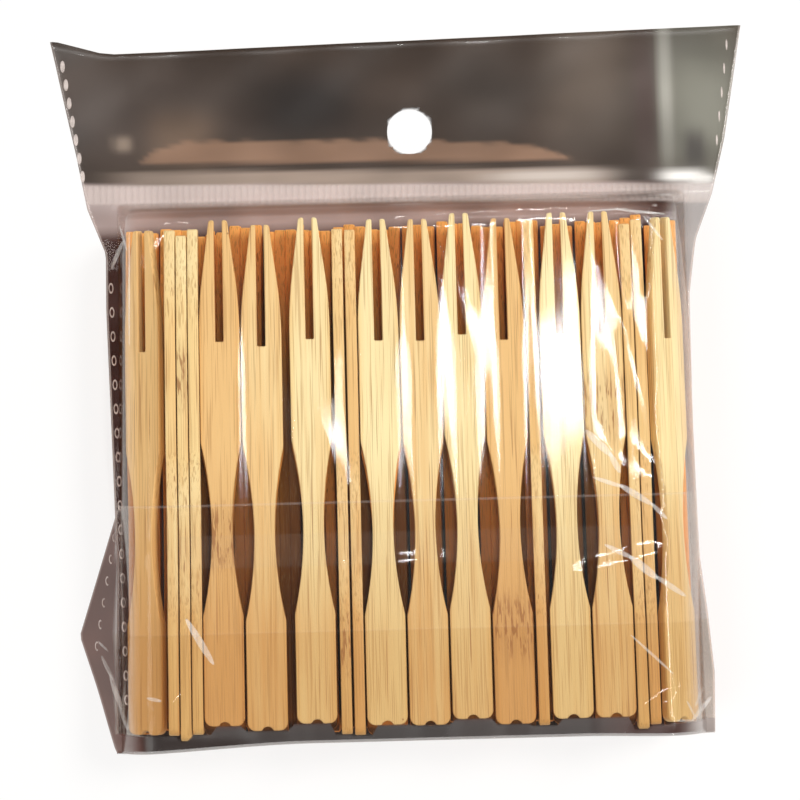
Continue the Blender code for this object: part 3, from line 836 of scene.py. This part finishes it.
def column_places(y, left, right, columns):
    """X of the web's columns at one row, close together where the film bends."""
    fold = float(pile_side(y))
    left_fold, right_fold = max(left, -fold - WALL_RUN), min(right, fold + WALL_RUN)
    low = -fold - WALL_RUN + (ROUND_RUN + WALL_RUN) * np.linspace(0.0, 1.0, 15) ** 1.4
    plateau = np.linspace(low[-1], -low[-1], columns + 1)
    fin = np.linspace(0.0, 1.0, 8) ** 1.7
    places = [
        left + (left_fold - left) * fin[:-1],
        np.maximum(low[:-1], left_fold),
        plateau,
        np.minimum(-low[::-1][1:], right_fold),
        right - (right - right_fold) * fin[::-1][1:],
    ]
    return np.concatenate(places)


def patch(x, y, middle_x, middle_y, reach_x, reach_y):
    """1 inside a soft-edged patch given in millimetres, and 0 outside it."""
    across, along = (x * 1000 - middle_x) / reach_x, (y * 1000 - middle_y) / reach_y
    return np.exp(-(np.abs(across) ** 3) - np.abs(along) ** 3)


def blend(first, second, share):
    return first + (np.asarray(second) - first) * share[:, None]


def seal_middle(x):
    """Middle line of the ribbed seal, which runs a little askew across the web."""
    return SEAL_LINE + 0.0006 - SEAL_TILT * x


def fork_ends():
    """Where the handles of the front row end, as x and y of each fork."""
    half = bpy.context.scene.fork_settings.length / 2
    ends = []
    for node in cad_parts:
        if node.startswith(("front_fork", "edge_fork", "left_side", "right_side")):
            middle, axes = lie_of(node)
            end = middle - axes.col[1] * half
            ends.append((end.x, end.y))
    return np.array(sorted(ends))


def film_tone(x, y, panel):
    """Colour of the smoke in the film at each point, with the header's painted reflections and highlights and
    the painted shade at the foot, and how much of it there is.
    """
    tone = np.tile(LEFT_SMOKE, (len(x), 1))
    tone = blend(tone, RIGHT_SMOKE, smooth((x - 0.046) / 0.006))
    tone = blend(tone, TIP_SMOKE, smooth((y - TIP_END + 0.0040) / 0.0030) * smooth((0.049 - x) / 0.012))
    header = smooth((y - seal_middle(x) - SEAL_REACH) / 0.0006)
    tone = blend(tone, HEADER_SMOKE, header)
    # Painted reflections and highlights in the header
    for middle_x, middle_y, reach_x, reach_y, colour in HEADER_REFLECTIONS:
        tone = blend(tone, colour, patch(x, y, middle_x, middle_y, reach_x, reach_y) * header)
    # Painted warm reflection across the header, below its crest
    crest = np.interp(x * 1000, *zip(*WARM_REFLECTION_CREST)) / 1000 + 0.00015 * np.sin(x * 1100)
    warm = smooth((crest - y) / 0.0006) * smooth((y - 0.0402 + SEAL_TILT * x) / 0.0007)
    warm *= smooth((x + 0.050) / 0.008) * smooth((0.036 - x) / 0.006)
    tone = blend(tone, WARM_REFLECTION, warm * header)
    # Painted reflection in a lighter band above the seal, then a painted highlight
    light = smooth((0.0394 - SEAL_TILT * x - y) / 0.0010)
    light *= smooth((x + 0.058) / 0.02) * smooth((0.042 - x) / 0.008)
    tone = blend(tone, LIGHT_REFLECTION, light * header)
    tone = blend(tone, PAINTED_HIGHLIGHT, patch(x, y, 27.0, 37.0, 11.0, 1.1) * header)
    smoke = POUCH_COVER - RIGHT_MARGIN_CLEARER * smooth((x - 0.047) / 0.006) * (1 - header)
    if panel >= 1.0:
        # Painted shade in the foot of the bag, below the handle ends
        tone = blend(tone, FOOT_SHADE, smooth((HANDLE_END + 0.001 - y) / 0.001) * smooth((0.040 - x) / 0.010))
    if panel > 1.5:
        tone = blend(tone, FLAP_SMOKE, smooth((-0.047 - x) / 0.002))
        beyond = np.array([side_edge(row, -1) for row in y]) - x
        smoke = FLAP_COVER * smooth((beyond + 0.0004) / 0.0008)
    elif panel > 1.0:
        smoke = np.full_like(x, WALL_COVER)
    return tone, smoke * (panel > 0.5)


def web_rows(settings):
    """Rows of the web: points, then panel, distance to the side edge, fork end, smoke and its colour."""
    mouth = PACK_FOOT + 0.0005
    pouch = np.linspace(mouth, TIP_END, settings.rows)
    slope = np.linspace(TIP_END, SEAL_LINE, 9)[1:]
    header = np.linspace(SEAL_LINE, PACK_TOP, HEADER_ROWS + 1)[1:]
    stations = [*pouch, *slope, *header]
    ends = fork_ends()
    rows = []

    def add_points(x, y, z, left, right, panel):
        tone, smoke = film_tone(x, y, panel)
        lift = np.clip((y - SEAL_LINE) / (PACK_TOP - SEAL_LINE), 0.0, 1.0)
        sink = smooth((PACK_FOOT + 0.012 - y) / 0.012) * foot_drop(x)
        points = np.stack([x, y - header_dip(x) * lift - sink, z], axis=1)
        foot = ends[np.argmin(np.abs(x[:, None] - ends[:, 0]), axis=1), 1]
        looks = [np.full_like(x, panel), np.minimum(x - left, right - x), foot, smoke, *tone.T]
        rows.append((points, np.stack(looks, axis=1)))

    def add_row(y, left, right, height, panel):
        x = column_places(y, left, right, settings.columns)
        ys = np.full_like(x, y)
        add_points(x, ys, height(x, ys), left, right, panel)

    def front(x, y):
        return front_height(x, y, CREASES, settings.ripple)

    def flap(x, y):
        free = smooth((FLAP_TOP - y) / 0.01)
        return front(x, y) + FLAP_RISE + creases(x, y, FLAP_CREASES) + 0.0002 * (1 - free)

    for y in stations:
        add_row(y, side_edge(y, -1), side_edge(y, 1), front, 0.0)
    for y in reversed(stations[:-1]):
        add_row(y, side_edge(y, -1), side_edge(y, 1), back_height, 1.0)
    left, right = side_edge(mouth, -1), side_edge(mouth, 1)
    for rise in np.linspace(0.0, 1.0, 10)[1:-1]:
        x = column_places(mouth, left, right, settings.columns)
        ys = np.full_like(x, mouth)
        low, high = back_height(x, ys), flap(x, ys)
        swell = 0.0005 * math.sin(math.pi * rise)
        add_points(x, ys - swell, low + (high - low) * rise, left, right, 1.0 + rise)
    for y in np.linspace(mouth + 0.0004, FLAP_TOP, 38):
        add_row(y, flap_edge(y, -1), flap_edge(y, 1), flap, 2.0)
    return rows


def close_side_seams(rows, count):
    """Brings the edges of the front and the back together, so that the bag is welded along its sides."""
    for number in range(count - 1):
        (front, front_looks), (back, back_looks) = rows[number], rows[2 * count - 2 - number]
        for column in (0, -1):
            middle = (front[column] + back[column]) / 2
            front[column] = middle
            back[column] = middle
            front_looks[column] = back_looks[column]
    rows[count - 1][1][:] = rows[count][1]


def model_bag(settings):
    """The folded web of film with its wall and its hang hole."""
    rows = web_rows(settings)
    close_side_seams(rows, settings.rows + 8 + HEADER_ROWS)
    columns = len(rows[0][0])
    deselect_all()
    bpy.ops.mesh.primitive_grid_add(x_subdivisions=columns - 1, y_subdivisions=len(rows) - 1, size=1.0)
    bag = bpy.context.object
    bag.name = "film_bag_sheet"
    mesh = bag.data
    flat = np.array([vertex.co for vertex in mesh.vertices])
    order = np.lexsort((flat[:, 0], np.round(flat[:, 1], 5)))
    points = np.concatenate([row[0] for row in rows])
    placed = np.empty_like(points)
    placed[order] = points
    mesh.vertices.foreach_set("co", placed.astype(np.float32).ravel())
    looks = np.empty((len(points), 7), dtype=np.float32)
    looks[order] = np.concatenate([row[1] for row in rows])
    for column, name in enumerate(("panel", "rim", "foot", "smoke")):
        mesh.attributes.new(name, "FLOAT", "POINT").data.foreach_set("value", looks[:, column].copy())
    mark_mesh(mesh, "tone", looks[:, 4:].copy())
    mesh.update()
    make_active(bag)
    bpy.ops.object.mode_set(mode="EDIT")
    bpy.ops.mesh.select_all(action="SELECT")
    bpy.ops.mesh.remove_doubles(threshold=1e-6)
    bpy.ops.object.mode_set(mode="OBJECT")
    wall = bag.modifiers.new("wall", "SOLIDIFY")
    wall.thickness = settings.thickness
    wall.offset = 1.0
    bpy.ops.object.modifier_apply(modifier=wall.name)
    hole = add_drum("hole_cutter", settings.hole, 0.02, (*HOLE_PLACE, 0.004), 62)
    cut_away(bag, hole)
    make_active(bag)
    bpy.ops.object.shade_smooth_by_angle(angle=math.radians(50))
    return bag


def join_marks(marks, name):
    deselect_all()
    for mark in marks:
        mark.select_set(True)
    bpy.context.view_layer.objects.active = marks[0]
    bpy.ops.object.join()
    bpy.ops.object.transform_apply(location=True, rotation=True, scale=True)
    joined = bpy.context.object
    joined.name = name
    bpy.ops.object.shade_smooth()
    return joined


def film_top(x, y, settings, rise):
    """Upper face of the front film, or of the flap with its rise, at one place in metres."""
    spot = np.array([x]), np.array([y])
    return float(front_height(*spot, CREASES, settings.ripple)[0]) + settings.thickness + rise


def model_weld_marks(settings):
    """Small pressed ovals along the welds: full ones on the header, rings on the pouch and the flap."""
    deselect_all()
    marks = []
    kinds = (
        (SOLID_WELDS, False, 0.0),
        (RING_WELDS, True, 0.0),
        (FLAP_RING_WELDS, True, FLAP_RISE),
    )
    rows = [(row, ring, rise) for table, ring, rise in kinds for row in table]
    for (x0, y0, x1, y1, count, breadth, length), ring, rise in rows:
        for number in range(count):
            t = number / (count - 1)
            x, y = (x0 + (x1 - x0) * t) / 1000, (y0 + (y1 - y0) * t) / 1000
            place = (x, y, film_top(x, y, settings, rise))
            if ring:
                bpy.ops.mesh.primitive_torus_add(
                    major_radius=0.42, minor_radius=0.10, major_segments=18, minor_segments=6, location=place
                )
            else:
                bpy.ops.mesh.primitive_uv_sphere_add(segments=14, ring_count=6, radius=0.5, location=place)
            mark = bpy.context.object
            mark.scale = (breadth / 1000, length / 1000, RING_HEIGHT if ring else WELD_HEIGHT)
            marks.append(mark)
    return join_marks(marks, "weld_marks")


def model_fold_glints(settings):
    """Thin white slivers along the sharp folds of the front film and the flap, narrow at both ends: painted
    glints.
    """
    slivers = []
    for x0, y0, x1, y1, breadth in FOLD_GLINTS:
        ends = []
        for x, y in ((x0 / 1000, y0 / 1000), (x1 / 1000, y1 / 1000)):
            rise = FLAP_RISE if y < FLAP_TOP else 0.0
            ends.append(Vector((x, y, film_top(x, y, settings, rise))))
        run = ends[1] - ends[0]
        middle = (ends[0] + ends[1]) / 2
        bpy.ops.mesh.primitive_uv_sphere_add(segments=12, ring_count=10, radius=0.5, location=middle)
        sliver = bpy.context.object
        sliver.rotation_euler = run.to_track_quat("Z", "Y").to_euler()
        sliver.scale = (breadth / 1000, GLINT_HEIGHT, run.length)
        slivers.append(sliver)
    return join_marks(slivers, "film_fold_glints")


# Operators


class CUTLERY_OT_forks(bpy.types.Operator):
    """Model one bamboo fork and lay a copy of it at every fork of the frame"""

    bl_idname = "cutlery.forks"
    bl_label = "Forks"

    def execute(self, context):
        settings = context.scene.fork_settings
        master = model_fork(settings)
        master.data.materials.append(bamboo_material(settings))
        chance = random.Random(7)
        for node in sorted(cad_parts):
            if "fork" not in node and "bundle" not in node:
                continue
            middle, axes = lie_of(node)
            through = axes.col[2]
            steps = (-1, 0, 1) if "bundle" in node else (0,)
            for step in steps:
                low, high = TONE_RANGES.get(node.split("_")[0], (0.0, 0.0))
                tone = FORK_TONES.get(node, chance.uniform(low, high))
                joint = chance.uniform(-0.035, 0.035) if chance.random() < JOINT_CHANCE else NO_JOINT
                if node.startswith("front"):
                    joint = NO_JOINT
                joint = JOINT_MARKS.get(node, joint)
                name = f"bamboo_{node}" if len(steps) == 1 else f"bamboo_{node}_{step + 2}"
                spot = middle + through * settings.thickness * step
                if step:
                    spot += axes.col[1] * chance.uniform(-BUNDLE_UNEVEN, BUNDLE_UNEVEN)
                piece = lay_fork(master, name, spot, axes, tone, joint, chance.uniform(0.0, 0.9))
                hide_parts(node)
        bpy.data.objects.remove(master, do_unlink=True)
        return {"FINISHED"}


class CUTLERY_OT_film(bpy.types.Operator):
    """Model the film bag with its weld marks and the painted glints along its folds, and finish the strip of
    glue under its flap
    """

    bl_idname = "cutlery.film"
    bl_label = "Film bag"

    def execute(self, context):
        settings = context.scene.film_settings
        bag = model_bag(settings)
        dress(bag, film_material(settings))
        marks = model_weld_marks(settings)
        dress(marks, haze_material("weld_haze", tuple(settings.haze), WELD_HAZE))
        glint_slivers = model_fold_glints(settings)
        dress(glint_slivers, haze_material("painted_fold_glints", GLINT_WHITE, GLINT_HAZE))
        for piece in (bag, marks, glint_slivers):
            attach(piece, BODY)
        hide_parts("film_bag")
        dress(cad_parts["flap_glue_strip"], haze_material("clear_glue", tuple(settings.glue), GLUE_HAZE))
        return {"FINISHED"}


def dress(piece, material):
    """Gives a clear piece its material. It dims the forks too little to see, so lamplight passes it."""
    piece.data.materials.clear()
    piece.data.materials.append(material)
    piece.visible_shadow = False
    piece.visible_diffuse = False


def aim(thing, target):
    thing.rotation_euler = (Vector(target) - thing.location).to_track_quat("-Z", "Y").to_euler()


def add_lamp(name, location, target, size, power, colour):
    lamp = bpy.data.lights.new(name, "AREA")
    lamp.shape = "RECTANGLE"
    lamp.size, lamp.size_y = size
    lamp.energy = power
    lamp.color = colour
    placed = bpy.data.objects.new(name, lamp)
    placed.location = location
    aim(placed, target)
    bpy.context.scene.collection.objects.link(placed)
    return placed


def floor_material(colour):
    """Matt pale floor, mostly lifted to white for the camera so that its shadows stay faint."""
    sheet = NodeSheet("studio_floor")
    matt = sheet.add("ShaderNodeBsdfDiffuse", {"Color": colour})
    white = sheet.add("ShaderNodeEmission", {"Color": WHITE, "Strength": 1.0})
    path = sheet.add("ShaderNodeLightPath")
    seen = sheet.maths("MULTIPLY", path.outputs["Is Camera Ray"], FLOOR_LIFT)
    shader = sheet.add("ShaderNodeMixShader", {0: seen, 1: matt.outputs[0], 2: white.outputs[0]})
    return sheet.finish(shader.outputs[0])


def light_world(strength):
    world = bpy.data.worlds.new("studio_air")
    bpy.context.scene.world = world
    world.use_nodes = True
    nodes, links = world.node_tree.nodes, world.node_tree.links
    nodes.clear()
    air = nodes.new("ShaderNodeBackground")
    air.inputs["Color"].default_value = AIR_COLOUR
    air.inputs["Strength"].default_value = strength
    backdrop = nodes.new("ShaderNodeBackground")
    backdrop.inputs["Color"].default_value = WHITE
    path = nodes.new("ShaderNodeLightPath")
    mix = nodes.new("ShaderNodeMixShader")
    output = nodes.new("ShaderNodeOutputWorld")
    links.new(path.outputs["Is Camera Ray"], mix.inputs[0])
    links.new(air.outputs[0], mix.inputs[1])
    links.new(backdrop.outputs[0], mix.inputs[2])
    links.new(mix.outputs[0], output.inputs[0])


# Colour of the light from all round, and how far the floor is lifted to white
AIR_COLOUR = (1.0, 0.985, 0.97, 1.0)
FLOOR_LIFT = 0.7
CAMERA_X = -0.00096
CAMERA_Y = -0.00264
# Millimetres, as the camera's own unit
SENSOR_WIDTH = 36.0
# Lamps that light the pack: place, breadth and length, and colour
ROOM_LAMPS = (
    ("key_lamp", (0.75, 0.35, 0.75), (0.32, 0.32), (1.0, 0.97, 0.93)),
    ("fill_lamp", (-0.75, -0.35, 0.75), (0.6, 0.6), (1.0, 0.96, 0.92)),
)
# Small lamps that the front film mirrors: place, aim, breadth and length, and share of the glare
GLARE_LAMPS = (
    ("glare_lamp", (0.064, 0.003, 1.12), (0.028, 0.0, 0.015), (0.050, 0.120), 6.4),
    ("streak_lamp", (0.092, 0.050, 1.12), (0.041, 0.02, 0.015), (0.020, 0.050), 1.6),
    ("side_lamp", (0.099, 0.016, 1.12), (0.0435, 0.008, 0.015), (0.034, 0.100), 6.0),
    ("shoulder_lamp", (0.430, 0.003, 1.10), (0.046, 0.0, 0.015), (0.500, 0.055), 20.0),
)
GLARE_COLOUR = (1.0, 1.0, 0.98)
GLARE_TURN = math.radians(10)


class CUTLERY_OT_stage(bpy.types.Operator):
    """Lay the floor, hang the lamps and set up the camera"""

    bl_idname = "cutlery.stage"
    bl_label = "Stage"

    def execute(self, context):
        settings = context.scene.stage_settings
        deselect_all()
        bpy.ops.mesh.primitive_plane_add(size=3.0, location=(0.0, 0.0, -0.0002))
        floor = context.object
        floor.name = "studio_floor"
        floor.data.materials.append(floor_material(tuple(settings.floor)))
        light_world(settings.sky)
        for (name, place, size, colour), power in zip(ROOM_LAMPS, (settings.key, settings.fill)):
            add_lamp(name, place, (0, 0, 0), size, power, colour)
        for name, place, target, size, share in GLARE_LAMPS:
            lamp = add_lamp(name, place, target, size, settings.glare * share, GLARE_COLOUR)
            lamp.rotation_euler.rotate_axis("Z", GLARE_TURN)
        camera = bpy.data.objects.new("camera", bpy.data.cameras.new("camera"))
        context.scene.collection.objects.link(camera)
        camera.location = (CAMERA_X, CAMERA_Y, FRONT_HEIGHT + settings.camera_height)
        camera.rotation_euler = (0.0, 0.0, settings.camera_turn)
        camera.data.sensor_width = SENSOR_WIDTH
        camera.data.lens = SENSOR_WIDTH * settings.camera_height / settings.view_width
        context.scene.camera = camera
        context.scene.view_settings.view_transform = "Standard"
        return {"FINISHED"}


class CUTLERY_PT_pack(bpy.types.Panel):
    """Steps that build the pack, in order"""

    bl_idname = "CUTLERY_PT_pack"
    bl_label = "Bamboo Fork Pack"
    bl_space_type = "VIEW_3D"
    bl_region_type = "UI"
    bl_category = "Fork Pack"

    def draw(self, context):
        for step in (CUTLERY_OT_stage, CUTLERY_OT_forks, CUTLERY_OT_film):
            self.layout.operator(step.bl_idname)
        for group in ("fork_settings", "film_settings", "stage_settings"):
            box = self.layout.box()
            settings = getattr(context.scene, group)
            for name in settings.__annotations__:
                box.prop(settings, name)


CLASSES = (
    ForkSettings,
    FilmSettings,
    StageSettings,
    CUTLERY_OT_stage,
    CUTLERY_OT_forks,
    CUTLERY_OT_film,
    CUTLERY_PT_pack,
)


def register():
    for cls in CLASSES:
        bpy.utils.register_class(cls)
    bpy.types.Scene.fork_settings = PointerProperty(type=ForkSettings)
    bpy.types.Scene.film_settings = PointerProperty(type=FilmSettings)
    bpy.types.Scene.stage_settings = PointerProperty(type=StageSettings)


def unregister():
    del bpy.types.Scene.stage_settings
    del bpy.types.Scene.film_settings
    del bpy.types.Scene.fork_settings
    for cls in reversed(CLASSES):
        bpy.utils.unregister_class(cls)


def main():
    register()
    bpy.ops.cutlery.stage()
    bpy.ops.cutlery.forks()
    bpy.ops.cutlery.film()


if __name__ == "__main__":
    main()
